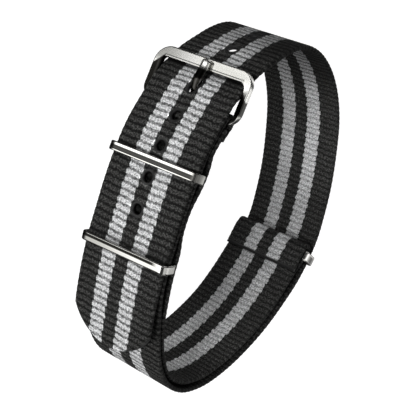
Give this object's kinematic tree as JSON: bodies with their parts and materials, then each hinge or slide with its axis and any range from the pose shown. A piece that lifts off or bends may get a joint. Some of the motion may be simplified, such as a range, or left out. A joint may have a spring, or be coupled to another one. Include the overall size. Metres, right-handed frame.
{
  "type": "watch strap",
  "caption": "Striped nylon pass-through watch strap closed in a loop, with a one-piece frame buckle, pivoting tongue and flat-wire keepers, lying on its rim.",
  "frame": {"origin": "centre of the bounding box in X and Y, on the surface it lies on", "axes": "+Z is across the width of the webbing, up from the rim it lies on; +Y points from the seat of the watch head toward the buckle side; the buckle and tail are at -X, the end keeper at +X"},
  "size_m": [0.0638, 0.0778, 0.024],
  "materials": {
    "webbing": "ribbed nylon webbing, black with two grey stripes",
    "webbing_inner": "ribbed nylon webbing, black with two grey stripes",
    "buckle_steel": "satin steel with polished edges",
    "tongue_steel": "polished steel",
    "keeper_steel": "polished flat steel wire"
  },
  "bodies": {
    "webbing": {"main_strap": "webbing", "short_strap": "webbing_inner"},
    "buckle": {"buckle_frame": "buckle_steel"},
    "tongue": {"buckle_tongue": "tongue_steel"},
    "upper_keeper_body": {"upper_keeper": "keeper_steel"},
    "lower_keeper_body": {"lower_keeper": "keeper_steel"},
    "end_keeper_body": {"end_keeper": "keeper_steel"}
  },
  "joints": [
    {"name": "buckle_hinge", "type": "hinge", "parent": "webbing", "child": "buckle", "pos_m": [-0.0233, 0.02055, 0.01235], "axis": [0, 0, 1], "range_deg": [-0.5, 5]},
    {"name": "tongue_hinge", "type": "hinge", "parent": "buckle", "child": "tongue", "pos_m": [-0.0233, 0.02055, 0.01235], "axis": [0, 0, 1], "range_deg": [0, 6]},
    {"name": "upper_keeper_slide", "type": "slide", "parent": "webbing", "child": "upper_keeper_body", "axis": [0.1491, 0.9888, 0], "range_m": [-0.0008, 0.001]},
    {"name": "lower_keeper_slide", "type": "slide", "parent": "webbing", "child": "lower_keeper_body", "axis": [-0.0411, 0.9992, 0], "range_m": [-0.001, 0.001]},
    {"name": "end_keeper_hinge", "type": "hinge", "parent": "webbing", "child": "end_keeper_body", "pos_m": [0.0271, -0.0086, 0.01235], "axis": [0, 0, 1], "range_deg": [-5, 5]}
  ]
}
